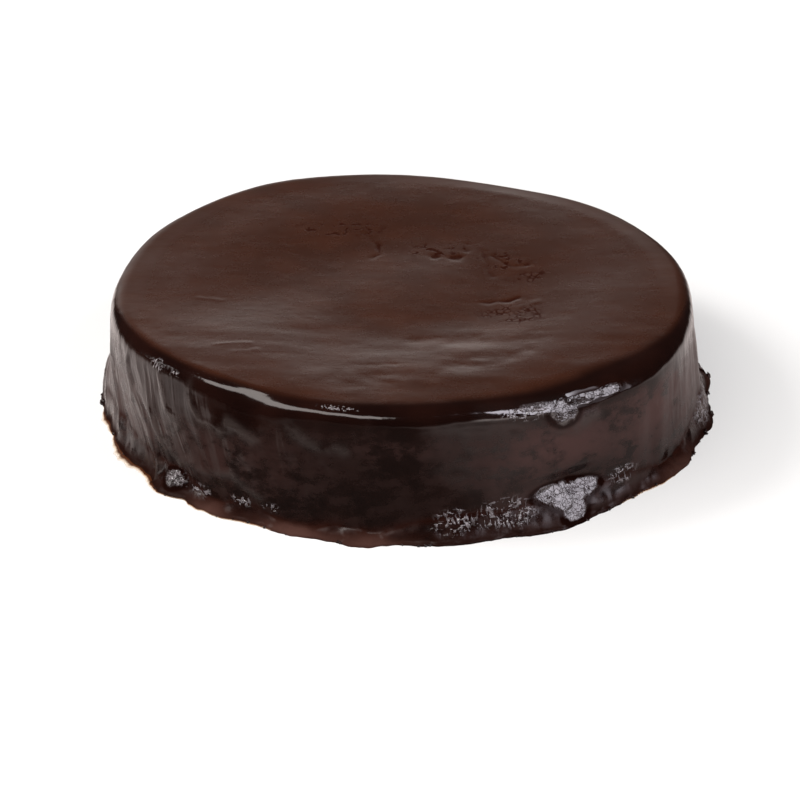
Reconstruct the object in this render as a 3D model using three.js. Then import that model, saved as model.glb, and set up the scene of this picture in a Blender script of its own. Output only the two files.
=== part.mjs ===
// Soaked chocolate cake: one round cake, turned out of its tin and coated all over with a dark glaze.
// The glaze rounds the rim, hangs on the side in folds and has pooled in lobes round the foot.
// Millimetres, +Z up, standing on Z = 0. Angles are degrees round the cake from its front, -Y,
// growing towards +X. Reach is the distance from the cake's axis.
import * as THREE from 'three';

// Driving dimensions
const TIN_DIAMETER = 240;
const GLAZE_THICKNESS = 2.5;
const HEIGHT = 53;
const EDGE_RADIUS = 7;
const WALL_SPREAD = 2;
const WALL_BELLY = 0.5;
const POOL_REACH = 3.8;
const POOL_HEIGHT = 10;
const POOL_LIP = 2.6;
const NECK_HEIGHT = 10;
const NECK_SPREAD = 8;
const DISH_DEPTH = 1.8;

// Sizes that follow from them
const RIM_REACH = TIN_DIAMETER / 2 + GLAZE_THICKNESS;
const WALL_FOOT_REACH = RIM_REACH + WALL_SPREAD;
const POOL_EDGE_REACH = WALL_FOOT_REACH + POOL_REACH;
const WALL_TOP = HEIGHT - EDGE_RADIUS;

// Mesh steps round the cake and along each stretch of its profile
const STEPS_AROUND = 200;
const POOL_STEPS = 5;
const WALL_STEPS = 8;
const EDGE_STEPS = 6;
const TOP_STEPS = 6;

// The rim is no true circle: waves that go so many turns round the cake, move it so far out and crest at an
// angle. The one-turn wave is the lean of the whole cake over its foot.
const RIM_WAVES = [
  { turns: 1, size: 1.6, crest: -76 },
  { turns: 2, size: 0.5, crest: 55 },
  { turns: 4, size: 0.7, crest: 38 },
  { turns: 5, size: 0.8, crest: -10 },
  { turns: 6, size: 0.6, crest: -6 },
];

// The rim is not level either
const RIM_RISES = [
  { turns: 2, size: 0.3, crest: 36 },
  { turns: 3, size: 0.7, crest: -20 },
];

// Stretches of rim where the edge slumped: how far it dropped, and how far it draws in there. Negative ones
// are humps.
const RIM_SLUMPS = [
  { at: 11, wide: 10, drop: 0, draw: 2.2 },
  { at: 34, wide: 18, drop: 1.9, draw: 0 },
  { at: 47, wide: 9, drop: 0, draw: -1.0 },
  { at: -24, wide: 6, drop: 0.6, draw: 0 },
  { at: 118, wide: 16, drop: 1.1, draw: 1.2 },
  { at: 156, wide: 16, drop: 1.1, draw: 0.4 },
  { at: -150, wide: 15, drop: -0.6, draw: -0.8 },
  { at: -116, wide: 13, drop: 0, draw: -1.1 },
];
const SLUMP_WIDTH = 18;

// Stretches of the side where the wall draws in just above the pool. Negative ones swell out.
const NECKS = [
  { at: -93, wide: 15, depth: -4.2 },
  { at: -20, wide: 30, depth: 0.8 },
  { at: 88, wide: 18, depth: -0.5 },
  { at: 160, wide: 40, depth: 0.8 },
];

// Stretches where the wall bulges, and the heights between which a bulge starts and ends
const BULGES = [
  { at: -34, wide: 13, size: 2.6 },
  { at: 112, wide: 18, size: 1.4 },
  { at: -150, wide: 20, size: 1.4 },
];
const BULGE_STARTS = [2, 14];
const BULGE_ENDS = [32, 51];

// Lobes of pooled glaze: where, how wide in degrees, how far out, and how much higher up the wall
const POOL_LOBES = [
  { at: -170, wide: 8, reach: 2.6, rise: 2 },
  { at: -148, wide: 9, reach: 2.2, rise: 4 },
  { at: -124, wide: 6, reach: 2.8, rise: 1 },
  { at: -106, wide: 7, reach: 1.6, rise: 3 },
  { at: -86, wide: 7, reach: 1.9, rise: -2 },
  { at: -66, wide: 6, reach: 1.2, rise: -2 },
  { at: -48, wide: 4, reach: 4.4, rise: -3 },
  { at: -36, wide: 5, reach: 2.6, rise: -2 },
  { at: -8, wide: 4, reach: 4.0, rise: -3 },
  { at: 7, wide: 5, reach: 2.0, rise: -2 },
  { at: 26, wide: 6, reach: 3.0, rise: 2 },
  { at: 58, wide: 7, reach: 3.4, rise: 4 },
  { at: 77, wide: 6, reach: 3.2, rise: 7 },
  { at: 97, wide: 8, reach: 3.6, rise: 7 },
  { at: 122, wide: 8, reach: 2.4, rise: 1 },
  { at: 146, wide: 6, reach: 1.8, rise: 3 },
  { at: 166, wide: 7, reach: 3.0, rise: 0 },
];

// Folds where the glaze hung in drapes: a stretch of the side, the folds' spacing in degrees, their depth,
// and how far they drift round the cake on their way down
const FOLD_STRETCHES = [
  { at: -66, wide: 34, spacing: 7.2, depth: 1.0, drift: 16 },
  { at: 72, wide: 32, spacing: 9.0, depth: 0.7, drift: 2 },
  { at: 180, wide: 50, spacing: 8.0, depth: 0.8, drift: 10 },
];
const FOLD_CURL = 1.4;
const FOLD_UNEVENNESS = 0.37;

// Broad unevenness of the top, as waves across it: direction, length from crest to crest and height
const TOP_WAVES = [
  { heading: 95, length: 62, size: 0.35 },
  { heading: 40, length: 81, size: 0.3 },
];

const radians = THREE.MathUtils.degToRad;
const fade = (value, low, high) => THREE.MathUtils.smoothstep(value, low, high);

// The shorter way round the cake from one angle to another
function turnFrom(at, angle) {
  return THREE.MathUtils.euclideanModulo(angle - at + 180, 360) - 180;
}

function bump(angle, at, wide) {
  return Math.exp(-((turnFrom(at, angle) / wide) ** 2));
}

function waves(list, angle) {
  const size = (wave) => wave.size * Math.cos(radians(wave.turns * (angle - wave.crest)));
  return list.reduce((sum, wave) => sum + size(wave), 0);
}

// How far the pooled glaze pushes out, from all of it at the floor to nothing at the pool's own top
function poolPush(angle, height) {
  let push = 0;
  let top = POOL_HEIGHT;
  for (const lobe of POOL_LOBES) {
    const share = bump(angle, lobe.at, lobe.wide);
    push += lobe.reach * share;
    top += lobe.rise * share;
  }
  return push * (1 - fade(height, 0, top));
}

// The wall draws in above the pool
function neckPull(angle, height) {
  const share = Math.exp(-(((height - NECK_HEIGHT) / NECK_SPREAD) ** 2));
  return share * NECKS.reduce((sum, neck) => sum + neck.depth * bump(angle, neck.at, neck.wide), 0);
}

// The wall bulges below the rim
function bulgePush(angle, height) {
  const share = fade(height, ...BULGE_STARTS) * (1 - fade(height, ...BULGE_ENDS));
  return share * BULGES.reduce((sum, bulge) => sum + bulge.size * bump(angle, bulge.at, bulge.wide), 0);
}

// Folds fade in below the rim and out into the pool. A slower wave makes their spacing and depth uneven.
function foldPush(angle, height) {
  const hang = 1 - height / HEIGHT;
  const strength = fade(height, 0, POOL_HEIGHT) * fade(hang, 0, EDGE_RADIUS / HEIGHT);
  const push = FOLD_STRETCHES.reduce((sum, fold) => {
    const turn = (2 * Math.PI * (turnFrom(fold.at, angle) - fold.drift * hang ** FOLD_CURL)) / fold.spacing;
    const slow = Math.sin(turn * FOLD_UNEVENNESS);
    const ridge = Math.cos(turn + slow) * (1 + slow) / 2;
    return sum + fold.depth * bump(angle, fold.at, fold.wide) * ridge;
  }, 0);
  return strength * push;
}

function slump(way, angle, reach) {
  const share = fade(reach, RIM_REACH - SLUMP_WIDTH, RIM_REACH);
  return share * RIM_SLUMPS.reduce((sum, place) => sum + place[way] * bump(angle, place.at, place.wide), 0);
}

function topWave(angle, reach) {
  return TOP_WAVES.reduce((sum, wave) => {
    const along = reach * Math.cos(radians(angle - wave.heading));
    return sum + wave.size * Math.cos((2 * Math.PI * along) / wave.length);
  }, 0);
}

// The profile of a perfectly even cake, from the middle of the underside to the middle of the top
function evenProfile() {
  const pool = new THREE.CubicBezierCurve(
    new THREE.Vector2(POOL_EDGE_REACH, 0),
    new THREE.Vector2(POOL_EDGE_REACH + POOL_LIP / 4, POOL_LIP),
    new THREE.Vector2(WALL_FOOT_REACH, POOL_LIP),
    new THREE.Vector2(WALL_FOOT_REACH, POOL_HEIGHT),
  );
  const wall = new THREE.LineCurve(
    new THREE.Vector2(WALL_FOOT_REACH, POOL_HEIGHT),
    new THREE.Vector2(RIM_REACH, WALL_TOP),
  );
  const edge = new THREE.EllipseCurve(
    RIM_REACH - EDGE_RADIUS, WALL_TOP, EDGE_RADIUS, EDGE_RADIUS, 0, Math.PI / 2, false,
  );
  const top = new THREE.QuadraticBezierCurve(
    new THREE.Vector2(RIM_REACH - EDGE_RADIUS, HEIGHT),
    new THREE.Vector2(RIM_REACH / 2, HEIGHT - DISH_DEPTH),
    new THREE.Vector2(0, HEIGHT - DISH_DEPTH),
  );
  const stretches = [
    pool.getPoints(POOL_STEPS),
    wall.getPoints(WALL_STEPS).slice(1),
    edge.getPoints(EDGE_STEPS).slice(1),
    top.getPoints(TOP_STEPS).slice(1),
  ];
  return [new THREE.Vector2(0, 0), ...stretches.flat()];
}

// Where a point of the even cake lies on the real one
function unevenPoint(angle, reach, height) {
  const outward = reach / RIM_REACH;
  const rimShare = fade(height, 0, WALL_TOP);
  const topShare = fade(height, WALL_TOP, HEIGHT - DISH_DEPTH);
  const belly = WALL_BELLY * Math.sin(Math.PI * Math.min(height / WALL_TOP, 1));
  const hung = foldPush(angle, height) + bulgePush(angle, height) - neckPull(angle, height);
  const rim = rimShare * (waves(RIM_WAVES, angle) - slump('draw', angle, reach));
  const push = rim + poolPush(angle, height) + hung;
  const rise = rimShare * outward ** 2 * waves(RIM_RISES, angle);
  const uneven = topShare * (topWave(angle, reach) * (1 - outward ** 4) - slump('drop', angle, reach));
  return { reach: reach + outward * (push + belly), height: height + rise + uneven };
}

function cakeGeometry() {
  const geometry = new THREE.LatheGeometry(evenProfile(), STEPS_AROUND);
  const points = geometry.attributes.position;
  const even = new THREE.Vector3();
  for (let i = 0; i < points.count; i += 1) {
    even.fromBufferAttribute(points, i);
    const angle = THREE.MathUtils.radToDeg(Math.atan2(even.x, even.z));
    const real = unevenPoint(angle, Math.hypot(even.x, even.z), even.y);
    const across = radians(angle);
    points.setXYZ(i, real.reach * Math.sin(across), -real.reach * Math.cos(across), real.height);
  }
  geometry.computeVertexNormals();
  geometry.computeBoundingBox();
  const middle = geometry.boundingBox.getCenter(new THREE.Vector3());
  return geometry.translate(-middle.x, -middle.y, -geometry.boundingBox.min.z);
}

const glaze = new THREE.MeshStandardMaterial({ color: 0x2a1812, roughness: 0.28, metalness: 0 });
const cake = new THREE.Mesh(cakeGeometry(), glaze);
cake.name = 'cake';

const soakedChocolateCake = new THREE.Group();
soakedChocolateCake.add(cake);

export default soakedChocolateCake;
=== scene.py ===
from itertools import pairwise, product
from math import atan, cos, pi, radians, sin
from types import SimpleNamespace

import bmesh
import bpy
import numpy as np
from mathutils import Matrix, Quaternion, Vector

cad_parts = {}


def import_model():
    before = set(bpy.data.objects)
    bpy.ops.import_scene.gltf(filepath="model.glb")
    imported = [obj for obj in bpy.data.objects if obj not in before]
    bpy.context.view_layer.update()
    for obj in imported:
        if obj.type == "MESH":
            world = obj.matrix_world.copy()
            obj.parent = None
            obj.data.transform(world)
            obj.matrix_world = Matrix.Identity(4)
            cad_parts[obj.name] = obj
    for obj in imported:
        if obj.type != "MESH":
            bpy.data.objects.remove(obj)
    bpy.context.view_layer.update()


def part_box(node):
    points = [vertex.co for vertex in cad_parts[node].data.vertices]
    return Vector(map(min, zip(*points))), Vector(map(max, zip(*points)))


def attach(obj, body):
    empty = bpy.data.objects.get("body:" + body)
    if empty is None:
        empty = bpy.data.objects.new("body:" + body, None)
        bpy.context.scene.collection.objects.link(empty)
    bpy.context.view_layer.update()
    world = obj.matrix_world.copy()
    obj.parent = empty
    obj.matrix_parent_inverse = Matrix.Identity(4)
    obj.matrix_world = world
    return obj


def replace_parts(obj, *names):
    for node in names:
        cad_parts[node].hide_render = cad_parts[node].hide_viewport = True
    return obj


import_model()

# The cake's form is worked out in millimetres, as the solid's is, and turned into metres when a mesh is made.
# Angles are degrees round the cake from its front, -Y, growing towards +X.
MM = 0.001

# Driving dimensions of the cake
TIN_DIAMETER = 240
GLAZE_THICKNESS = 2.5
HEIGHT = 53
EDGE_RADIUS = 7
WALL_SPREAD = 2
WALL_BELLY = 0.5
POOL_REACH = 3.8
POOL_HEIGHT = 10
NECK_HEIGHT = 10
NECK_SPREAD = 8
DISH_DEPTH = 1.8

RIM_REACH = TIN_DIAMETER / 2 + GLAZE_THICKNESS
WALL_TOP = HEIGHT - EDGE_RADIUS
ARC = radians(RIM_REACH)

# Waves of the rim, outwards and upwards: turns round the cake, size, angle of a crest
RIM_WAVES = [(1, 1.6, -76), (2, 0.5, 55), (4, 0.7, 38), (5, 0.8, -10), (6, 0.6, -6)]
RIM_RISES = [(2, 0.3, 36), (3, 0.7, -20)]

# Slumps of the rim, as drops and as stretches drawn in: angle, width, size. Inwards they fade over a width
RIM_DROPS = [(34, 18, 1.9), (-24, 6, 0.6), (118, 16, 1.1), (156, 16, 1.1), (-150, 15, -0.6)]
RIM_DRAWS = [(11, 10, 2.2), (47, 9, -1.0), (118, 16, 1.2), (156, 16, 0.4), (-150, 15, -0.8), (-116, 13, -1.1)]
SLUMP_WIDTH = 18

# Where the wall draws in above the pool, or swells out, and where it bulges: angle, width, size. A bulge
# begins and ends over stretches of height
NECKS = [(-93, 15, -4.2), (-20, 30, 0.8), (88, 18, -0.5), (160, 40, 0.8)]
BULGES = [(-34, 13, 2.6), (112, 18, 1.4), (-150, 20, 1.4)]
BULGE_STARTS, BULGE_ENDS = (2, 14), (32, 51)

# Lobes of pooled glaze: angle, width, reach
POOL_LOBES = [
    (-170, 8, 2.6), (-148, 9, 2.2), (-124, 6, 2.8), (-106, 7, 1.6), (-86, 7, 1.9), (-66, 6, 1.2),
    (-48, 4, 4.4), (-36, 5, 2.6), (-8, 4, 4.0), (7, 5, 2.0), (26, 6, 3.0), (58, 7, 3.4),
    (77, 6, 3.2), (97, 8, 3.6), (122, 8, 2.4), (146, 6, 1.8), (166, 7, 3.0),
]

# Folds of hanging glaze: angle, width, spacing, depth, drift round the cake on the way down
FOLD_STRETCHES = [(-66, 34, 7.2, 1.0, 16), (72, 32, 9.0, 0.7, 2), (180, 50, 8.0, 0.8, 10)]
# They drift by a power of the way down, come and go at a rate, and deepen over a stretch of the way down
FOLD_CURL = 1.4
FOLD_UNEVENNESS = 0.37
FOLDS_DEEPEN = 0.1, 0.5
# The finer folds also sway to and fro: degrees, and the length of a sway
FLOW_SWAY, FLOW_SWAY_LENGTH = 1.4, 26

# Broad waves of the top: heading, length, size
TOP_WAVES = [(95, 62, 0.35), (40, 81, 0.3)]

# Finer form of the glaze, beyond the solid's

# The pool has a rounded lip. Its tongues lie nearly flat: angle, width, flatness. Between them it climbs
# steeply to a crease at the wall, in places more than elsewhere: angle, width, size
LIP_THICKNESS, LIP_TURN = 1.2, radians(75)
LOW_CLIMB, STEEP_CLIMB = 0.8, 6.5
TONGUES = [
    (-37, 4, 0.9), (-20, 7, 1.0), (-6, 5, 0.8), (58, 7, 0.7), (97, 6, 0.6),
    (122, 8, 1.0), (150, 5, 0.8), (168, 7, 1.0), (-124, 6, 0.9), (-148, 8, 0.7), (-172, 6, 0.9),
]
HIGH_CLIMBS = [
    (30.5, 7, 6.5), (12, 7, 2), (44, 3, 2), (-47, 4, 1.2),
    (-70, 14, 4), (80, 10, 3), (-98, 9, 3), (135, 6, 3),
]
# Above the crease the wall flares a little
FLARE_REACH, FLARE_HEIGHT = 2.6, 14
# Lobes that only thicken the pool: angle, width, reach
SMALL_LOBES = [(33, 6, 1.5), (-21, 5, 1.4)]
# Hollows above high slopes: angle, width, size
HOLLOWS = [(31, 8, 3.4), (100, 10, 1.0), (-146, 9, 1.2)]
HOLLOW_HEIGHT, HOLLOW_SPREAD = 16, 5
# Flattened edges of the rim: angle, width, size
FLAT_EDGES = [
    (34, 6, 1.3), (41, 3, -0.5), (14, 8, -0.6), (-11, 11, -0.6), (-30, 8, 0.9),
    (150, 14, 0.6), (-130, 12, 0.6),
]
FLAT_LEAN, FLAT_SPREAD = radians(38), radians(34)
# The top sinks within a bead along the rim, which is higher in places: angle, width, size
BEAD_START, BEAD_END, BEAD_HEIGHT = 30, 95, 2.0
BEAD_RISES = [(-46, 28, 1.2), (40, 25, 0.4)]
RISE_START, RISE_END = 58, 108

# How far out the top's satin finish reaches, and where it ends sooner: angle, width, size
SATIN_REACH, SATIN_BLUR = 120, 3.5
SATIN_DRAWS = [(3, 34, 7.5), (46, 20, 9), (180, 60, -5)]

# How far below the rim the bare gloss hangs: angle, width, size
GLOSS_DROPS = [(-37, 13, 10), (-54, 8, 14), (12, 9, 3), (60, 10, 3), (150, 20, 6), (-140, 18, 6)]

# Ridges of glaze that hang on the wall: width, size, and their way as angles and heights
RIDGES = [
    (1.6, 0.6, [(-64, 48), (-64, 38), (-62, 27)]),
    (1.5, 0.7, [(-53, 50), (-51, 41), (-49, 34), (-46, 29)]),
    (1.6, 0.7, [(-60, 34), (-55, 29), (-51, 19), (-45, 15), (-39, 15), (-33, 18), (-27, 12)]),
    (1.8, 0.3, [(-44, 50), (-43, 41), (-39, 36), (-35, 35)]),
    (2.0, 0.3, [(-34, 40), (-31, 38), (-28, 35)]),
    (2.2, 0.3, [(-21, 43), (-16, 37), (-11, 37)]),
    (1.3, 0.5, [(-56, 13), (-51, 6)]),
    (3.5, 0.9, [(29, 41.5), (32, 40), (35.5, 42)]),
]

# Marks on the top, sunk where positive: width, depth, and their way across it
TOP_MARKS = [
    (1.8, -0.2, [(47, -21), (54, -17)]),
    (1.5, 0.12, [(-23, -78), (-5, -77)]),
    (5.0, 0.25, [(2, -54), (26, -52)]),
    (6.0, 0.35, [(16, -80), (45, -67)]),
    (5.0, 0.2, [(45, -55), (54, -51)]),
    (6.5, 0.3, [(-25, -91), (8, -92)]),
    (1.4, -0.12, [(-86, -16), (-77, -17)]),
    (1.4, -0.15, [(-76, -63), (-63, -61)]),
    (1.4, -0.15, [(-68, -70), (-59, -68)]),
]
# Marks that go through the glaze's polish and stay dark
TOP_GOUGES = [
    (1.6, 0.35, [(31, -15), (38, -14.5), (46, -12.5)]),
    (1.2, 0.25, [(33, 36), (36, 10)]),
    (1.1, 0.25, [(37, 31), (45, 18), (52, 20)]),
    (1.1, 0.2, [(-20, 54), (-13, 43), (-11, 34), (-15, 30)]),
    (2.2, 0.4, [(11.5, 31), (12.5, 31)]),
    (2.4, 0.4, [(20, 30), (22, 30)]),
    (2.0, 0.3, [(26, 37), (26, 43)]),
]

# Pitted and crazed patches of the top, and its patches of painted sheen: place, width across and along
PITTED_PATCHES = [(-29, 57, 17, 6), (14, 36, 13, 7), (40, 24, 10, 8)]
CRAZED_PATCHES = [(44, -28, 13, 9), (52, 8, 9, 6)]
PAINTED_SHEEN_PATCHES = [(-60, -66, 34, 18), (-98, 4, 20, 24), (58, -64, 26, 18), (86, 10, 22, 40), (76, -32, 22, 22)]

# Patches of coarse sugar grain on the wall: angle, height, width, tallness
GRAIN_PATCHES = [
    (22, 48, 4, 2.5), (-53, 49.5, 1.9, 1.6), (-48, 49, 1.1, 1.0), (-13, 52.2, 4, 0.4),
    (8, 8, 3.5, 4.5), (17, 9, 5, 5.5), (43, 11, 3.2, 3.2), (-46, 7.5, 2.6, 3.4), (-40, 6, 2.5, 2.5),
    (-31, 8, 2.2, 2.2), (-25, 8, 1.8, 2.0),
    (80, 7, 9, 5), (104, 6, 8, 5), (140, 6, 9, 4), (176, 5, 9, 4), (-150, 6, 9, 4), (-116, 6, 8, 4),
]

# Stretches of the rim with a sugary sheen: start, end
SHEEN_STRETCHES = [(14, 31), (140, 162), (-140, -120)]
SHEEN_BLUR = 3

# Patches of wrinkled sugar crust: angle, height, width, tallness
CRUST_PATCHES = [
    (26.5, 12.5, 3.3, 2.9), (30, 10.5, 4.1, 4.2), (34, 11.5, 3.1, 2.9), (30.5, 5, 2.6, 3.8),
    (29.5, 46.5, 2.8, 5), (34, 50.5, 4.4, 3.4), (39.5, 50.5, 3.0, 2.6), (24.5, 51, 3.4, 1.8),
    (-46.5, 6.5, 2.2, 3.0), (102, 8, 6, 4), (100, 4, 3, 4), (-146, 8, 6, 4), (-144, 4, 3, 4),
]

# Stretches of the wall under a dull brown film, partly a painted sheen: angle, height, width, tallness
FILM_PATCHES = [
    (-3, 38, 7, 4), (28, 32, 14, 14), (54, 34, 18, 17), (67, 24, 7, 18), (85, 26, 22, 26), (130, 28, 30, 24),
    (175, 28, 30, 24), (-140, 28, 30, 24), (-95, 26, 24, 26), (-60, 22, 20, 20), (-32, 22, 16, 14),
]

# Crumbs stuck in the glaze at the foot: angle and size of the large ones, and how many small ones
BIG_CRUMBS = [
    (95.6, 1.3), (88.6, 1.1), (79.7, 1.3), (72.6, 1.0), (64.4, 0.9), (-84.6, 1.4),
    (134, 1.1), (171, 1.2), (-158, 1.0), (-119, 1.2), (-101, 0.9),
]
SMALL_CRUMBS, SMALL_CRUMB_SIZES = 60, (0.3, 0.7)
CRUMB_SEED = 7
# Their stretch along each axis, the depth and rate of their knobs, the span these are drawn from, and how far
# in and up from the foot's edge their middles are, in sizes
CRUMB_STRETCHES = 0.7, 1.6
CRUMB_KNOB_DEPTH, CRUMB_KNOB_RATE, CRUMB_KNOB_SPAN = 0.6, 1.4, 90
CRUMB_SUNK, CRUMB_RAISED = 0.3, 0.5

# Syrup that has seeped out at the foot: angle, width, reach. Its section goes from under the foot to its
# edge: share of the reach, or millimetres inwards where negative, and height. A spill is drawn over so many
# widths to either side, in steps of so many degrees. Its edge is ragged by a share of its reach.
SYRUP_SPILLS = [
    (-77, 4, 2.2), (-62, 8, 3.6), (-53, 4, 2.0), (-40, 3, 1.0), (-30, 3, 0.9),
    (49, 4, 0.7), (114, 7, 1.6), (141, 8, 2.4), (-160, 8, 2.0), (-135, 5, 1.4),
]
SYRUP_PROFILE = [(-2.0, 0.5), (0.0, 0.45), (0.5, 0.35), (0.85, 0.2), (1.0, 0.02)]
SYRUP_SPAN, SYRUP_STEP = 2, 0.4
SYRUP_RAGS, SYRUP_RAG_LENGTH = 0.5, 5

# Mesh fineness: rings of the top, each with so many points more than the one within it, columns round the
# side, and rows of the side's stretches. The crease at the wall spreads over so many rows.
RINGS, RING_GROWTH = 110, 8
COLUMNS = RING_GROWTH * RINGS
LIP_ROWS, POOL_ROWS, WALL_ROWS, EDGE_ROWS = 4, 8, 30, 12
CREASE_ROW, CREASE_BLUR = LIP_ROWS + POOL_ROWS, 1.3
SIDE_ROWS = CREASE_ROW + WALL_ROWS + EDGE_ROWS + 1
FIRST_COLUMN_ANGLE = -45
SHARP_ANGLE = radians(60)

# Cells that the noise repeats after, and what brings it to about -1 to 1
NOISE_CELLS = 256
NOISE_GAIN = 1.6


def fade(value, low, high):
    share = np.clip((value - low) / (high - low), 0, 1)
    return share * share * (3 - 2 * share)


def turn_from(at, angle):
    return (angle - at + 180) % 360 - 180


def bump(angle, at, wide):
    return np.exp(-((turn_from(at, angle) / wide) ** 2))


def bumps(listed, angle):
    return sum(size * bump(angle, at, wide) for at, wide, size in listed)


def waves(listed, angle):
    return sum(size * np.cos(np.radians(turns * (angle - crest))) for turns, size, crest in listed)


def line_share(places, start, end, wide):
    """1 on the line between two places, falling off beside it."""
    way = np.subtract(end, start)
    along = np.clip((places - start) @ way / (way @ way), 0, 1)
    gap = places - start - along[:, None] * way
    return np.exp(-(gap ** 2).sum(axis=1) / wide ** 2)


def chain_share(places, chain, wide):
    return np.max([line_share(places, start, end, wide) for start, end in pairwise(chain)], axis=0)


def smooth_noise(seed):
    """Seeded noise over points in space, about -1 to 1, with features about one unit across."""
    draw = np.random.default_rng(seed)
    order = draw.permutation(NOISE_CELLS)
    slopes = draw.normal(size=(NOISE_CELLS, 3))
    slopes /= np.linalg.norm(slopes, axis=1)[:, None]

    def noise(points):
        cell = np.floor(points).astype(int)
        part = points - cell
        ease = part ** 3 * (part * (part * 6 - 15) + 10)
        total = np.zeros(len(points))
        for corner in product((0, 1), repeat=3):
            pick = 0
            for spot in (cell + np.array(corner)).T:
                pick = order[(pick + spot) % NOISE_CELLS]
            weight = np.where(corner, ease, 1 - ease).prod(axis=1)
            total += weight * ((part - np.array(corner)) * slopes[pick]).sum(axis=1)
        return NOISE_GAIN * total

    return noise


# Form

def neck_pull(angle, height):
    neck = np.exp(-(((height - NECK_HEIGHT) / NECK_SPREAD) ** 2))
    hollow = np.exp(-(((height - HOLLOW_HEIGHT) / HOLLOW_SPREAD) ** 2))
    return neck * bumps(NECKS, angle) + hollow * bumps(HOLLOWS, angle)


def fold_push(angle, height):
    hang = 1 - height / HEIGHT
    strength = fade(height, 0, POOL_HEIGHT) * fade(hang, *FOLDS_DEEPEN)
    push = 0
    for at, wide, spacing, depth, drift in FOLD_STRETCHES:
        turn = 2 * pi * (turn_from(at, angle) - drift * np.abs(hang) ** FOLD_CURL) / spacing
        slow = np.sin(turn * FOLD_UNEVENNESS)
        push = push + depth * bump(angle, at, wide) * np.cos(turn + slow) * (1 + slow) / 2
    return strength * push


def bulge_push(angle, height):
    return fade(height, *BULGE_STARTS) * (1 - fade(height, *BULGE_ENDS)) * bumps(BULGES, angle)


def top_wave(angle, reach):
    total = 0
    for heading, length, size in TOP_WAVES:
        along = reach * np.cos(np.radians(angle - heading))
        total = total + size * np.cos(2 * pi * along / length)
    return total


def uneven(angle, reach, height, pool):
    """Where a point of a perfectly even cake lies on the real one, as reach and height."""
    outward = reach / RIM_REACH
    rim_share = fade(height, 0, WALL_TOP)
    top_share = fade(height, WALL_TOP, HEIGHT - DISH_DEPTH)
    slump_share = fade(reach, RIM_REACH - SLUMP_WIDTH, RIM_REACH)
    belly = WALL_BELLY * np.sin(pi * np.minimum(height / WALL_TOP, 1))
    hung = fold_push(angle, height) - neck_pull(angle, height) + bulge_push(angle, height)
    rim = rim_share * (waves(RIM_WAVES, angle) - slump_share * bumps(RIM_DRAWS, angle))
    rise = rim_share * outward ** 3 * waves(RIM_RISES, angle)
    rough = top_wave(angle, reach) * (1 - outward ** 4) - slump_share * bumps(RIM_DROPS, angle)
    sink = BEAD_HEIGHT * (1 - fade(reach, BEAD_START, BEAD_END))
    sink = sink - fade(reach, RISE_START, RISE_END) * bumps(BEAD_RISES, angle)
    return reach + outward * (rim + pool + hung + belly), height + rise + top_share * (rough - sink)


def flare(height):
    return FLARE_REACH * np.clip(1 - height / FLARE_HEIGHT, 0, 1) ** 2


def rows_of(count, end):
    return np.linspace(0, end, count + 1)[1:, None]


def side_profile(angle):
    """Reach, height, lean and pool of the side's rows at each angle, from the floor up to the top."""
    level = np.zeros_like(angle)
    run = POOL_REACH + bumps(POOL_LOBES, angle) + bumps(SMALL_LOBES, angle)
    roll = np.concatenate([np.zeros((1, 1)), rows_of(LIP_ROWS, LIP_TURN)])
    along, up, lean = rows_of(POOL_ROWS, 1), rows_of(WALL_ROWS, 1), rows_of(EDGE_ROWS, pi / 2)
    lip = level + LIP_THICKNESS * np.sin(roll)
    steep = STEEP_CLIMB * (1 - np.minimum(bumps(TONGUES, angle), 1))
    slope = lip[-1] + along * (LOW_CLIMB + steep + bumps(HIGH_CLIMBS, angle))
    bare = slope[-1] + up * (WALL_TOP - slope[-1])
    wall = np.concatenate([lip, slope, bare])
    wall_reach = RIM_REACH + WALL_SPREAD * np.clip((WALL_TOP - wall) / (WALL_TOP - POOL_HEIGHT), 0, 1)
    lip_pool = run - LIP_THICKNESS * (1 - np.cos(roll))
    slope_pool = lip_pool[-1] + along * (flare(slope[-1]) - lip_pool[-1])
    return (
        np.concatenate([wall_reach, level + RIM_REACH - EDGE_RADIUS + EDGE_RADIUS * np.cos(lean)]),
        np.concatenate([wall, level + WALL_TOP + EDGE_RADIUS * np.sin(lean)]),
        np.concatenate([np.zeros_like(wall), level + lean]),
        np.concatenate([lip_pool, slope_pool, flare(bare), level + np.zeros_like(lean)]),
    )


def top_grid():
    """Ring and place in it of each point of the top, a square grid bent into rings of 8, 16, 24 and so on."""
    steps = np.arange(-RINGS, RINGS + 1)
    across, along = np.meshgrid(steps, steps)
    ring = np.maximum(abs(across), abs(along))
    place = np.select(
        [along == -ring, across == ring, along == ring],
        [across + ring, along + 3 * ring, 5 * ring - across],
        7 * ring - along,
    )
    return ring, place


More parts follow.
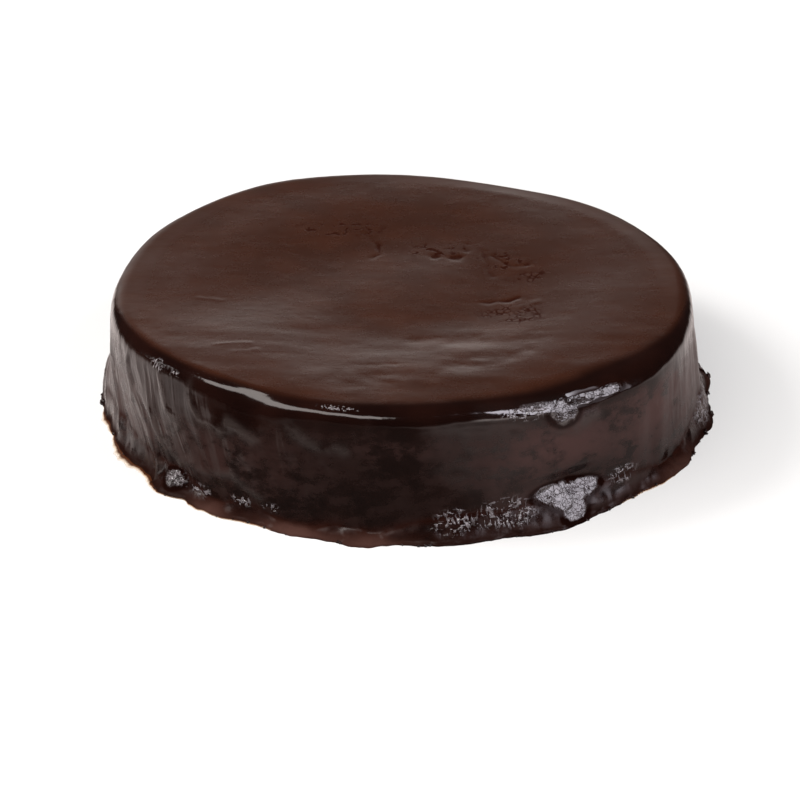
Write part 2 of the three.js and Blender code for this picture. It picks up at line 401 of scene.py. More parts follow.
def even_skin():
    """Angle, reach, height, lean, pool and crease of an even cake's points: the side's rows, then the top."""
    columns = FIRST_COLUMN_ANGLE + np.arange(COLUMNS) * 360 / COLUMNS
    reach, height, lean, pool = (part.ravel() for part in side_profile(columns))
    ring, place = top_grid()
    inner = ring < RINGS
    ring, place = ring[inner], place[inner]
    share = ring / RINGS
    top_angle = FIRST_COLUMN_ANGLE + 360 / RING_GROWTH * place / np.maximum(ring, 1)
    top_reach = (RIM_REACH - EDGE_RADIUS) * share ** 2 + RIM_REACH * share * (1 - share)
    crease = np.exp(-((np.arange(SIDE_ROWS) - CREASE_ROW) / CREASE_BLUR) ** 2)
    return (
        np.concatenate([np.tile(columns, SIDE_ROWS), top_angle]),
        np.concatenate([reach, top_reach]),
        np.concatenate([height, HEIGHT - DISH_DEPTH * (1 - share ** 2)]),
        np.concatenate([lean, np.full(len(ring), pi / 2)]),
        np.concatenate([pool, np.zeros(len(ring))]),
        np.concatenate([np.repeat(crease, COLUMNS), np.zeros(len(ring))]),
    )


# Relief that is finer than the form

drape_noise, lump_noise, streak_noise, grain_noise, smear_noise = (smooth_noise(seed) for seed in range(5))

# Layers of relief: noise, size of its features, depth
WALL_LUMPS = [(lump_noise, 26, 0.3), (lump_noise, 13, 0.15), (smear_noise, (9, 9, 5), 0.16)]
FOOT_LUMPS = [(lump_noise, 9, 0.8)]
FOOT_CRUMBLE = [(grain_noise, 4.6, 1.3), (smear_noise, 2.3, 0.5)]
POOL_LUMPS = [(lump_noise, 5, 0.25)]
RIM_LUMPS = [(lump_noise, 8, 1.0), (grain_noise, 3.6, 0.5)]
TOP_LUMPS = [(lump_noise, 38, 0.2), (smear_noise, 6, 0.025)]
GLOSS_RAGS = [(lump_noise, 9, 3.0), (grain_noise, 4, 2.0)]

# Folds of the wall are long, so heights count for less than widths, and threads of the finish are longer
# still. The folds are deeper where glaze hangs in drapes: angle, width, share
FOLD_WIDTH, FOLD_SQUEEZE, THREAD_SQUEEZE = 6, 0.25, 0.16
PLAIN_FOLD_DEPTH, DRAPED_FOLD_DEPTH = 0.06, 0.3
DRAPES = [(-74, 30, 1.0), (80, 18, 0.7), (180, 55, 0.6)]
# How far ridges stray from their way, and over what length
RIDGE_STRAY, RIDGE_STRAY_LENGTH = 1.2, 8
# The foot's crumble comes and goes: least share, length
LEAST_CRUMBLE, CRUMBLE_LENGTH = 0.35, 21
# The pool's lumps stand out as its reach does, up to this much
LUMPY_POOL_REACH = 2
# A radian of the rim's edge counts as so many millimetres. Its lumps stand out in places: angle, width, share
RIM_ARC = 9
RIM_LUMPINESS = 0.07
LUMPY_RIMS = [(34, 6, 0.4)]
# Ripples of the top, long from side to side: size, depth, what the front adds, and over what stretch
RIPPLE_SIZE = (30, 12, 1)
RIPPLE_DEPTH, FRONT_RIPPLE_DEPTH = 0.05, 0.15
RIPPLE_FRONT = (20, 70)
# How far the top's marks stray from their way, over what lengths, and how they come and go along it
MARK_STRAY, MARK_STRAY_ACROSS, MARK_STRAY_ALONG = 1.5, 7, 5
MARK_WEAR, MARK_WEAR_LENGTH = 0.7, 9


def layers(listed, places):
    return sum(depth * noise(places / size) for noise, size, depth in listed)


def round_the_wall(angle, height, squeeze=1.0):
    turn = np.radians(angle)
    return np.stack([RIM_REACH * np.sin(turn), -RIM_REACH * np.cos(turn), squeeze * height], -1)


def across_the_top(x, y):
    return np.stack([x, y, np.zeros_like(x)], -1)


def flow(angle, height, squeeze):
    """Places on the wall, moved so that what hangs and drifts on the real wall goes straight down."""
    hang = np.abs(1 - height / HEIGHT)
    drift = sum(drift * bump(angle, at, wide) for at, wide, spacing, depth, drift in FOLD_STRETCHES)
    sway = FLOW_SWAY * lump_noise(round_the_wall(angle, height) / FLOW_SWAY_LENGTH)
    return round_the_wall(angle - drift * hang ** FOLD_CURL + sway, height, squeeze)


def ridge_shares(angle, height):
    """Size of each ridge of hanging glaze, and 1 along it, falling off beside it."""
    stray = RIDGE_STRAY * smear_noise(round_the_wall(angle, height) / RIDGE_STRAY_LENGTH)
    unrolled = np.stack([ARC * turn_from(0, angle), height], -1) + stray[:, None]
    shares = []
    for wide, size, chain in RIDGES:
        way = [(ARC * at, up) for at, up in chain]
        shares.append((size, chain_share(unrolled, way, wide)))
    return shares


def wall_relief(angle, height):
    """Lumps, smears, folds and ridges of the hanging glaze."""
    folds = drape_noise(flow(angle, height, FOLD_SQUEEZE) / FOLD_WIDTH)
    fold_depth = PLAIN_FOLD_DEPTH + DRAPED_FOLD_DEPTH * bumps(DRAPES, angle)
    ridges = sum(size * share for size, share in ridge_shares(angle, height))
    return layers(WALL_LUMPS, round_the_wall(angle, height)) + fold_depth * folds + ridges


def foot_relief(angle, height):
    place = round_the_wall(angle, height)
    ragged = LEAST_CRUMBLE + (1 - LEAST_CRUMBLE) * np.abs(streak_noise(place / CRUMBLE_LENGTH))
    return layers(FOOT_LUMPS, place) + ragged * layers(FOOT_CRUMBLE, place)


def rim_relief(angle, lean):
    lumpy = RIM_LUMPINESS + bumps(LUMPY_RIMS, angle)
    return lumpy * layers(RIM_LUMPS, round_the_wall(angle, RIM_ARC * lean))


def top_marks(x, y, listed):
    """Depth of the listed marks, which stray a little from their way and come and go along it."""
    flat = across_the_top(x, y)
    stray = [smear_noise(flat / MARK_STRAY_ACROSS), drape_noise(flat / MARK_STRAY_ALONG)]
    strayed = flat[:, :2] + MARK_STRAY * np.stack(stray, -1)
    worn = MARK_WEAR * (1 + grain_noise(flat / MARK_WEAR_LENGTH))
    return worn * sum(depth * chain_share(strayed, chain, wide) for wide, depth, chain in listed)


def top_relief(x, y):
    flat = across_the_top(x, y)
    ripple_depth = RIPPLE_DEPTH + FRONT_RIPPLE_DEPTH * fade(-y, *RIPPLE_FRONT)
    ripples = ripple_depth * streak_noise(flat / RIPPLE_SIZE)
    return layers(TOP_LUMPS, flat) + ripples - top_marks(x, y, TOP_MARKS + TOP_GOUGES)


# Skin: the form with its relief, and its finishes

# Where stretches of the skin begin and end: leans of the top, heights of the foot, wall, rim and thin glaze
TOP_LEANS = radians(60), radians(85)
FOOT_HEIGHTS = 3, 9
WALL_HEIGHTS = WALL_TOP - 4, HEIGHT
RIM_HEIGHTS = WALL_TOP - 7, WALL_TOP - 1
THIN_HEIGHTS = 1, 6
# At the back the satin goes further over the rim, by up to a radian, and dulls towards it
BACK_ANGLES = 65, 100
DULL_REACHES = 106, 118
# Where the bare gloss ends when nothing hangs, where the crust ends on the rim's edge and the sheen begins
GLOSS_EDGE, GLOSS_BLUR = WALL_TOP - 1, 4
CRUST_LEANS = radians(52), radians(66)
SHEEN_LEANS = radians(4), radians(18)
# Depths of the top's gouges over which the polish goes
GOUGE_DEPTHS = 0.08, 0.22
# The film, with painted sheen, is whole about an angle on the lit right, over a width, and thinner elsewhere
FILM_SHEEN_MIDDLE = 50, 42
FILM_SHEEN_ELSEWHERE = 0.35


def skin_stretches(height, lean):
    """How far each point belongs to the top, foot, wall and rim."""
    on = SimpleNamespace(top=fade(lean, *TOP_LEANS), foot=1 - fade(height, *FOOT_HEIGHTS))
    on.wall = (1 - on.foot) * (1 - fade(height, *WALL_HEIGHTS)) * (1 - on.top)
    on.rim = fade(height, *RIM_HEIGHTS) * (1 - on.top)
    return on


def gloss_share(angle, height):
    """1 on the rim and where its bare gloss hangs down the wall, to a ragged edge."""
    ragged = layers(GLOSS_RAGS, round_the_wall(angle, np.zeros_like(angle)))
    edge = GLOSS_EDGE - bumps(GLOSS_DROPS, angle) - ragged
    return fade(height, edge - GLOSS_BLUR, edge + GLOSS_BLUR)


def sheen_share(turned):
    return sum(
        fade(turned, start - SHEEN_BLUR, start) * (1 - fade(turned, end, end + SHEEN_BLUR))
        for start, end in SHEEN_STRETCHES
    )


def patches(listed, first, second):
    """1 in any of the listed patches, falling off round them."""
    share = np.zeros_like(first)
    for at, level, wide, tall in listed:
        share = np.maximum(share, np.exp(-((first - at) / wide) ** 2 - ((second - level) / tall) ** 2))
    return share


def glaze_finish(angle, reach, height, lean, x, y):
    """Share of each finish of the glaze at each point."""
    on = skin_stretches(height, lean)
    turned = turn_from(0, angle)
    behind = fade(np.abs(turned), *BACK_ANGLES)
    satin_start, satin_end = (top_lean - behind for top_lean in TOP_LEANS)
    satin_reach = SATIN_REACH - bumps(SATIN_DRAWS, angle)
    within = 1 - fade(reach, satin_reach - SATIN_BLUR, satin_reach + SATIN_BLUR)
    satin = fade(lean, satin_start, satin_end) * within
    thin = 1 - fade(height, *THIN_HEIGHTS)
    film = FILM_SHEEN_ELSEWHERE + (1 - FILM_SHEEN_ELSEWHERE) * bump(angle, *FILM_SHEEN_MIDDLE)
    ridges = [share for size, share in ridge_shares(angle, height)]
    return {
        "satin": satin,
        "gloss": (1 - satin) * gloss_share(angle, height),
        "pitted": satin * patches(PITTED_PATCHES, x, y),
        "crazed": satin * patches(CRAZED_PATCHES, x, y),
        "gouged": on.top * fade(top_marks(x, y, TOP_GOUGES), *GOUGE_DEPTHS),
        "hazy": satin * patches(PAINTED_SHEEN_PATCHES, x, y),
        "dull": behind * fade(reach, *DULL_REACHES),
        "grain": (1 - satin) * patches(GRAIN_PATCHES, turned, height),
        "crust": (1 - fade(lean, *CRUST_LEANS)) * patches(CRUST_PATCHES, turned, height),
        "sheen": fade(lean, *SHEEN_LEANS) * (1 - on.top) * sheen_share(turned),
        "thin": thin,
        "tongue": thin * np.minimum(bumps(TONGUES, angle), 1),
        "film": film * on.wall * patches(FILM_PATCHES, turned, height),
        # Where ridges hang, for their painted highlight
        "ridged": on.wall * np.max(ridges, axis=0),
        "draped": on.wall * bumps(DRAPES, angle),
    }


def glaze_skin():
    """Every point of the glaze in millimetres, what its finish is there, and its place in the flow."""
    angle, reach, height, lean, pool, crease = even_skin()
    real_reach, real_height = uneven(angle, reach, height, pool)
    across = np.radians(angle)
    x, y = real_reach * np.sin(across), -real_reach * np.cos(across)
    on = skin_stretches(height, lean)
    flat_edge = np.exp(-((lean - FLAT_LEAN) / FLAT_SPREAD) ** 2) * (1 - on.top) * bumps(FLAT_EDGES, angle)
    relief = on.wall * wall_relief(angle, height) + on.foot * foot_relief(angle, height)
    relief = relief + on.rim * rim_relief(angle, lean) - flat_edge + on.top * top_relief(x, y)
    pool_lumps = layers(POOL_LUMPS, np.stack([x, y, height], -1)) * np.minimum(pool, LUMPY_POOL_REACH)
    real_reach = real_reach + relief * np.cos(lean)
    real_height = real_height + relief * np.sin(lean) + fade(height, 0, LIP_THICKNESS) * pool_lumps
    points = np.stack([real_reach * np.sin(across), -real_reach * np.cos(across), real_height], 1)
    finish = {"crease": crease, **glaze_finish(angle, reach, height, lean, x, y)}
    return points, finish, flow(angle, height, THREAD_SQUEEZE)


def glaze_faces():
    """Corner numbers of the side's and the top's squares, and of the underside's triangles."""
    column = np.arange(COLUMNS)
    following = (column + 1) % COLUMNS
    row = COLUMNS * np.arange(SIDE_ROWS - 1)[:, None]
    side = np.stack([row + column, row + following, row + COLUMNS + following, row + COLUMNS + column], -1)
    ring, place = top_grid()
    inner = ring < RINGS
    number = (SIDE_ROWS - 1) * COLUMNS + place
    number[inner] = SIDE_ROWS * COLUMNS + np.arange(inner.sum())
    top = np.stack([number[:-1, :-1], number[:-1, 1:], number[1:, 1:], number[1:, :-1]], -1)
    middle = np.full(COLUMNS, SIDE_ROWS * COLUMNS + inner.sum())
    return np.concatenate([side.reshape(-1, 4), top.reshape(-1, 4)]), np.stack([middle, following, column], 1)


# Pieces

def new_piece(name, mesh, material):
    mesh.polygons.foreach_set("use_smooth", [True] * len(mesh.polygons))
    mesh.materials.append(material)
    piece = bpy.data.objects.new(name, mesh)
    bpy.context.scene.collection.objects.link(piece)
    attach(piece, "root")
    return piece


def glazed_cake(material):
    """The coated cake, and its edge on the floor as angles and reaches."""
    points, finish, flowing = glaze_skin()
    cad_low, cad_high = (np.array(corner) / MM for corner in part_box("cake"))
    shift = (cad_low + cad_high - points.min(axis=0) - points.max(axis=0)) / 2
    points[:, :2] += shift[:2]
    quads, underside = glaze_faces()
    mesh = bpy.data.meshes.new("glazed_cake")
    mesh.from_pydata((points * MM).tolist() + [(0, 0, 0)], [], quads.tolist() + underside.tolist())
    mesh.set_sharp_from_angle(angle=SHARP_ANGLE)
    for name, share in finish.items():
        mesh.attributes.new(name, "FLOAT", "POINT").data.foreach_set("value", np.append(share, 0))
    flow_data = mesh.attributes.new("flowing", "FLOAT_VECTOR", "POINT").data
    flow_data.foreach_set("vector", np.append(flowing, (0, 0, 0)))
    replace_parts(new_piece("glazed_cake", mesh, material), "cake")
    x, y = points[:COLUMNS, :2].T
    return np.degrees(np.arctan2(x, -y)), np.hypot(x, y)


def foot_crumbs(foot, material):
    """Crumbs that the glaze has carried to the foot, coated and stuck there."""
    draw = np.random.default_rng(CRUMB_SEED)
    small = [(draw.uniform(-180, 180), draw.uniform(*SMALL_CRUMB_SIZES)) for crumb in range(SMALL_CRUMBS)]
    ball = bmesh.new()
    bmesh.ops.create_icosphere(ball, subdivisions=2, radius=1)
    corners = np.array([corner.co for corner in ball.verts])
    faces = np.array([[corner.index for corner in face.verts] for face in ball.faces])
    ball.free()
    points = []
    for at, size in BIG_CRUMBS + small:
        stretch = draw.uniform(*CRUMB_STRETCHES, 3)
        knobs = lump_noise(corners * CRUMB_KNOB_RATE + draw.uniform(0, CRUMB_KNOB_SPAN, 3))
        shape = size * stretch * (1 + CRUMB_KNOB_DEPTH * knobs)[:, None] * corners
        reach, turn = np.interp(at, *foot, period=360) - CRUMB_SUNK * size, radians(at)
        middle = (reach * sin(turn), -reach * cos(turn), CRUMB_RAISED * size)
        points.append(np.maximum(shape + middle, (-np.inf, -np.inf, 0)))
    mesh = bpy.data.meshes.new("foot_crumbs")
    joined = np.concatenate([faces + number * len(corners) for number in range(len(points))])
    mesh.from_pydata((np.concatenate(points) * MM).tolist(), [], joined.tolist())
    new_piece("foot_crumbs", mesh, material)


def syrup_spill(foot, at, wide, size):
    """Points, depths and faces of one film of syrup that spreads on the floor from under the foot."""
    angles = np.arange(at - SYRUP_SPAN * wide, at + SYRUP_SPAN * wide, SYRUP_STEP)
    edge = np.interp(angles, *foot, period=360)
    ragged = 1 + SYRUP_RAGS * grain_noise(round_the_wall(angles, np.zeros_like(angles)) / SYRUP_RAG_LENGTH)
    width = size * bump(angles, at, wide) * ragged
    across, up = np.array(SYRUP_PROFILE).T
    reach = edge[:, None] + np.where(across > 0, across * width[:, None], across)
    turn = np.radians(angles)[:, None]
    points = np.stack([reach * np.sin(turn), -reach * np.cos(turn), np.broadcast_to(up, reach.shape)], -1)
    depth = np.broadcast_to(1 - np.clip(across, 0, 1), reach.shape)
    rows = len(across)
    corner = rows * np.arange(len(angles) - 1)[:, None] + np.arange(rows - 1)
    faces = np.stack([corner, corner + 1, corner + rows + 1, corner + rows], -1)
    return points.reshape(-1, 3), depth.ravel(), faces.reshape(-1, 4)


def syrup(foot, material):
    points, depths, faces, count = [], [], [], 0
    for spill in SYRUP_SPILLS:
        spill_points, spill_depths, spill_faces = syrup_spill(foot, *spill)
        points.append(spill_points)
        depths.append(spill_depths)
        faces.append(spill_faces + count)
        count += len(spill_points)
    mesh = bpy.data.meshes.new("soaking_syrup")
    mesh.from_pydata((np.concatenate(points) * MM).tolist(), [], np.concatenate(faces).tolist())
    mesh.attributes.new("depth", "FLOAT", "POINT").data.foreach_set("value", np.concatenate(depths))
    new_piece("soaking_syrup", mesh, material)


# Materials

# Colours are linear. Those of the wall, from its bare glaze to the film and the painted light on it
DARK_GLAZE, BROWN_GLAZE = (0.005, 0.0016, 0.0012, 1), (0.0085, 0.0026, 0.0018, 1)
# The film's dull colour is partly a painted sheen, lighter where light would catch the wall
THIN_FILM, DULL_FILM_SHEEN = (0.0135, 0.0044, 0.0032, 1), (0.042, 0.0158, 0.0133, 1)
# Painted sheen of wisps, and painted highlights of threads and ridges, where light catches the folds
PAINTED_WISP_SHEEN, PAINTED_THREAD_HIGHLIGHT, PAINTED_RIDGE_HIGHLIGHT = (0.06, 0.05, 0.047, 1), (0.12, 0.108, 0.103, 1), (0.032, 0.024, 0.022, 1)
# Those of the foot and its tongues
THIN_FOOT, TONGUE = (0.01, 0.0033, 0.0023, 1), (0.05, 0.0235, 0.0188, 1)
# Those of the top, painted lighter than the wall's for the light from above: plain, swept and painted sheen
DEEP_LIT_TOP, WARM_LIT_TOP = (0.0235, 0.007, 0.0034, 1), (0.0295, 0.0088, 0.0042, 1)
SWEPT_LIT_TOP, PAINTED_SHEEN_TOP = (0.015, 0.0046, 0.0023, 1), (0.03, 0.013, 0.0095, 1)
# Those of sugar, partly a painted glint, of glaze without its polish and of the dry glaze round a crust
SUGAR_GLINT = (0.135, 0.117, 0.126, 1)
BARE_GLAZE, CRUST_SURROUND = (0.016, 0.0042, 0.0025, 1), (0.006, 0.002, 0.0015, 1)
# Shine of the polished and the sugared glaze, roughness of the bare glaze, and in millimetres the height of
# the finest relief and the size of the crazing's cells
GLAZE_IOR, GLAZE_SHINE = 1.42, (1, 0.95, 0.94, 1)
SUGAR_IOR = 2.2
BARE_ROUGHNESS = 0.8
FINEST_RELIEF = 0.12
CRAZE_SIZE = 2.8
# Syrup, thin and deep
THIN_SYRUP, DEEP_SYRUP = (0.7, 0.52, 0.36, 1), (0.06, 0.019, 0.007, 1)
SYRUP_IOR, SYRUP_ROUGHNESS = 1.4, 0.15

# What turns metres into millimetres, and the finishes that the glaze's mesh keeps
MILLIMETRES = (1 / MM,) * 3
FINISHES = (
    "satin", "gloss", "pitted", "crazed", "gouged", "crease", "hazy", "dull",
    "grain", "crust", "sheen", "thin", "tongue", "film", "ridged", "draped",
)


class Shade:
    """One socket of a shader tree. An expression on values adds Math nodes, and make adds any other node."""

    def __init__(self, tree, socket=None):
        self.tree = tree
        self.socket = socket

    def make(self, kind, settings, sockets, output=0):
        node = self.tree.nodes.new(kind)
        for name, value in settings.items():
            setattr(node, name, value)
        for name, value in sockets.items():
            if isinstance(value, Shade):
                self.tree.links.new(value.socket, node.inputs[name])
            else:
                node.inputs[name].default_value = value
        return Shade(self.tree, node.outputs[output]) if node.outputs else None

    def math(self, operation, first, second):
        return self.make("ShaderNodeMath", {"operation": operation}, {0: first, 1: second})

    def __add__(self, other):
        return self.math("ADD", self, other)

    def __sub__(self, other):
        return self.math("SUBTRACT", self, other)

    def __rsub__(self, other):
        return self.math("SUBTRACT", other, self)

    def __mul__(self, other):
        return self.math("MULTIPLY", self, other)

    __radd__ = __add__
    __rmul__ = __mul__

    def kept(self, name, output="Fac"):
        """What the mesh keeps under a name."""
        return self.make("ShaderNodeAttribute", {"attribute_name": name}, {}, output)

    def place(self):
        return self.make("ShaderNodeTexCoord", {}, {}, "Object")

    def scaled(self, by):
        return self.make("ShaderNodeVectorMath", {"operation": "MULTIPLY"}, {0: self, 1: by})

    def distance(self, point):
        return self.make("ShaderNodeVectorMath", {"operation": "DISTANCE"}, {0: self, 1: point}, "Value")

    def noise(self, size, detail=2.0, rough=0.5):
        sockets = {"Vector": self, "Scale": 1 / size, "Detail": detail, "Roughness": rough}
        return self.make("ShaderNodeTexNoise", {}, sockets)

    def between(self, low, high, start=0.0, end=1.0):
        return self.make(
            "ShaderNodeMapRange", {"interpolation_type": "SMOOTHSTEP"},
            {"Value": self, "From Min": low, "From Max": high, "To Min": start, "To Max": end},
        )

    def line(self, half):
        """1 where a noise is in the middle of its range, falling to 0 on either side."""
        return self.between(0.5 - half, 0.5) * self.between(0.5, 0.5 + half, 1.0, 0.0)

    def tint(self, low, high):
        return self.make("ShaderNodeMix", {"data_type": "RGBA"}, {0: self, 6: low, 7: high}, 2)

    def surface(self, sockets):
        return self.make("ShaderNodeBsdfPrincipled", {}, sockets)

    def mix(self, first, second):
        return self.make("ShaderNodeMixShader", {}, {0: self, 1: first, 2: second})


def new_material(name):
    material = bpy.data.materials.new(name)
    material.use_nodes = True
    material.node_tree.nodes.clear()
    return material, Shade(material.node_tree)


def glaze_look(start):
    """The finishes that the glaze's mesh keeps, and the noises in millimetres that break them up."""
    place = start.place().scaled(MILLIMETRES)
    flowing = start.kept("flowing", "Vector")
    look = SimpleNamespace(**{name: start.kept(name) for name in FINISHES})
    look.mottle = place.noise(size=24, detail=3)
    look.clouds = place.noise(size=7, detail=4, rough=0.6)
    look.smears = place.scaled((1, 1, 1.6)).noise(size=9, detail=6, rough=0.65)
    look.fine = place.noise(size=3, detail=4)
    look.sweeps = place.scaled((0.3, 1, 1)).noise(size=4, detail=4, rough=0.6)
    look.threads = flowing.noise(size=9).line(half=0.09)
    # Thin lines of painted highlight along the hanging glaze's threads
    look.bright_threads = flowing.noise(size=10, detail=1).line(half=0.032) * look.clouds.between(0.35, 0.55)
    look.wisps = flowing.noise(size=5, detail=3).between(0.46, 0.68)
    look.wrinkles = place.noise(size=3.5)
    look.swirls = place.noise(size=3).line(half=0.035) + place.noise(size=2, detail=1).line(half=0.035)
    upright = place.scaled((1, 1, 0.35)).noise(size=1.1, detail=1).between(0.52, 0.7)
    lying = place.scaled((0.4, 0.4, 1)).noise(size=1.2, detail=1).between(0.55, 0.72)
    look.needles = upright + lying
    cells = {"Vector": place, "Scale": 1 / CRAZE_SIZE}
    crazing = place.make("ShaderNodeTexVoronoi", {"feature": "DISTANCE_TO_EDGE"}, cells)
    pits = place.noise(size=3.2, detail=3).between(0.54, 0.6) * look.pitted.between(0.1, 0.5)
    cracks = crazing.between(0.05, 0.22, 1.0, 0.0) * look.crazed.between(0.1, 0.6)
    look.marred = pits + cracks * look.clouds.between(0.4, 0.6)
    return look


def add_sugar_and_wear(look):
    """Adds where the glaze is crusted or grained with sugar, under a film, dry or broken."""
    look.crusty = (look.crust + 0.5 * look.fine - 0.25).between(0.28, 0.5)
    look.around = look.crust.between(0.04, 0.2) * (1 - look.crusty) * (1 - look.sheen)
    look.strokes = look.grain.between(0.1, 0.6) * look.needles.between(0.1, 0.5)
    broken_sheen = look.sheen * look.clouds.between(0.28, 0.42) * (1 - look.crusty)
    crumpled = look.crusty * (0.64 - 0.4 * look.swirls + 0.25 * look.needles)
    look.sugared = broken_sheen + crumpled + look.strokes
    smeared = (0.65 * look.smears + 0.35 * look.mottle + 0.11 * look.film).between(0.42, 0.6)
    look.filmed = smeared * (1 - look.gloss) * (1 - look.crusty)
    worn_crease = 0.7 * look.crease * look.clouds.between(0.35, 0.55)
    worn_foot = 0.9 * look.thin * look.clouds.between(0.25, 0.45)
    broken = look.marred + look.gouged + (worn_crease + worn_foot) * (1 - look.crusty)
    look.dry = broken + 0.8 * look.tongue + 0.08 * look.swirls * look.crusty + 0.8 * look.around


def side_colour(look, foot):
    dark = look.mottle.between(0.35, 0.7).tint(DARK_GLAZE, BROWN_GLAZE)
    film = look.film.tint(THIN_FILM, DULL_FILM_SHEEN)
    # Painted sheen in wisps, then painted highlights along threads and ridges, over the wall's colour
    painted_wisps_colour = (look.draped * (0.4 * look.threads + 0.6 * look.wisps)).tint(film, PAINTED_WISP_SHEEN)
    painted_threads_colour = (look.draped * look.bright_threads).tint(painted_wisps_colour, PAINTED_THREAD_HIGHLIGHT)
    plain = look.filmed.tint(dark, painted_threads_colour)
    ridged = (0.7 * look.ridged * look.clouds.between(0.3, 0.55)).tint(plain, PAINTED_RIDGE_HIGHLIGHT)
    return (look.thin * look.fine.between(0.3, 0.7)).tint(ridged, foot)


def lit_top_colour(look):
    plain = look.mottle.between(0.35, 0.7).tint(DEEP_LIT_TOP, WARM_LIT_TOP)
    swept = look.sweeps.between(0.3, 0.7, 0.0, 0.25).tint(plain, SWEPT_LIT_TOP)
    # Painted sheen in patches towards the top's front and sides, where light glances off it
    return (look.hazy * look.sweeps.between(0.2, 0.6)).tint(swept, PAINTED_SHEEN_TOP)


def glaze_roughness(look):
    side = 0.2 + 0.18 * look.filmed + 0.1 * look.thin - 0.1 * look.gloss - 0.06 * look.grain
    top = 0.23 + 0.08 * look.clouds + 0.2 * look.dull
    return look.satin * top + (1 - look.satin) * side


def glaze_height(look):
    """The finest relief: polish of the top, sugar, what hangs, and the rough foot."""
    polish = look.satin * (0.25 * look.clouds + 0.5 * look.sweeps - 0.3 * look.marred)
    grain = 2.8 * look.grain.between(0.1, 0.6) * look.needles
    crust = look.crusty * (0.6 + 2.6 * look.wrinkles - 0.3 * look.swirls)
    hung = 1.5 * look.draped * (look.threads + look.wisps)
    return polish + 0.35 * look.fine + grain + crust + hung + look.thin * (3.0 * look.clouds + look.fine)


def chocolate_glaze():
    """Polished glaze, sugary where sugar has come out of it, and bare where it is dry or broken."""
    material, start = new_material("chocolate_glaze")
    look = glaze_look(start)
    add_sugar_and_wear(look)
    foot = look.tongue.tint(THIN_FOOT, TONGUE)
    # The top's colour is painted several times lighter than the side's, as painted light from above
    colour = look.satin.tint(side_colour(look, foot), lit_top_colour(look))
    # Pale sugar in the crust and grain, partly a painted glint where light catches the crystals
    pale_glints = look.strokes + look.crusty * (0.33 - 0.17 * look.swirls) * look.wrinkles.between(0.35, 0.6)
    bare_colour = look.around.tint(look.thin.tint(BARE_GLAZE, foot), CRUST_SURROUND)
    relief = {"Strength": 1.0, "Distance": FINEST_RELIEF * MM, "Height": glaze_height(look)}
    shared = {"Roughness": glaze_roughness(look), "Normal": start.make("ShaderNodeBump", {}, relief)}
    polished = start.surface({**shared, "Base Color": colour, "IOR": GLAZE_IOR, "Specular Tint": GLAZE_SHINE})
    sugary = start.surface({**shared, "Base Color": pale_glints.tint(colour, SUGAR_GLINT), "IOR": SUGAR_IOR})
    bare = start.surface({
        **shared, "Base Color": bare_colour, "Roughness": BARE_ROUGHNESS, "Specular IOR Level": 0.0,
    })
    shader = (0.9 * look.dry).mix(look.sugared.mix(polished, sugary), bare)
    start.make("ShaderNodeOutputMaterial", {}, {"Surface": shader})
    return material


def soaking_syrup():
    """Amber where it is deep, at the foot, and nearly clear at its edge."""
    material, start = new_material("soaking_syrup")
    clouds = start.place().scaled(MILLIMETRES).noise(size=2.5, detail=3)
    cloudy = start.kept("depth") + 0.5 * clouds - 0.25
    shader = start.surface({
        "Base Color": cloudy.between(0.15, 0.7).tint(THIN_SYRUP, DEEP_SYRUP), "Roughness": SYRUP_ROUGHNESS,
        "IOR": SYRUP_IOR, "Alpha": cloudy.between(0.0, 0.7, 0.25, 0.97),
    })
    start.make("ShaderNodeOutputMaterial", {}, {"Surface": shader})
    return material


# Stage

# The floor is white as far as the camera sees, and its own glow grows from the cake outwards. In the glaze's
# reflections it is warmer, ends softly, as a table does, and has dark spots, as from black cards laid on it,
# so that the front and the shaded side of the cake stay dark. Cards: middle, edge, end, darkness
FLOOR_HALF = 6
FLOOR_ROUGHNESS = 0.7
FLOOR_WHITE, MIRRORED_WHITE = (0.42, 0.42, 0.42, 1), (0.42, 0.375, 0.365, 1)
GLOW_START, GLOW_END = 0.15, 0.7
NEAR_GLOW, FAR_GLOW = (0.33, 0.33, 0.33, 1), (1, 1, 1, 1)
MIRRORED_NEAR_GLOW, MIRRORED_FAR_GLOW = (0.33, 0.295, 0.285, 1), (1, 0.9, 0.87, 1)
TABLE_EDGE, TABLE_END = 0.22, 0.5
CARDS = [
    ((-0.09, -0.22, 0), 0.13, 0.2, 1.0), ((0.165, -0.1, 0), 0.07, 0.15, 0.6),
    ((-0.225, -0.075, 0), 0.03, 0.07, 0.3),
]
CARD_COLOUR = (0.07, 0.055, 0.05, 1)
# The room is white to the camera, and dim in reflections and as light
DIM_ROOM, WHITE_ROOM = (0.02, 0.02, 0.02, 1), (1, 1, 1, 1)


def pale_floor():
    material, start = new_material("pale_floor")
    place = start.place()
    away = place.distance((0, 0, 0))
    mirrored = start.make("ShaderNodeLightPath", {}, {}, "Is Glossy Ray")
    outward = away.between(GLOW_START, GLOW_END)
    white_glow = outward.tint(NEAR_GLOW, FAR_GLOW)
    warm_glow = outward.tint(MIRRORED_NEAR_GLOW, MIRRORED_FAR_GLOW)
    white = start.surface({
        "Base Color": mirrored.tint(FLOOR_WHITE, MIRRORED_WHITE), "Roughness": FLOOR_ROUGHNESS,
        "Specular IOR Level": 0.0, "Emission Color": mirrored.tint(white_glow, warm_glow),
        "Emission Strength": 1.0,
    })
    black = start.make("ShaderNodeBsdfDiffuse", {}, {"Color": CARD_COLOUR})
    carded = sum(place.distance(middle).between(edge, end, dark, 0.0) for middle, edge, end, dark in CARDS)
    unlit = carded + away.between(TABLE_EDGE, TABLE_END)
    start.make("ShaderNodeOutputMaterial", {}, {"Surface": (mirrored * unlit).mix(white, black)})
    return material


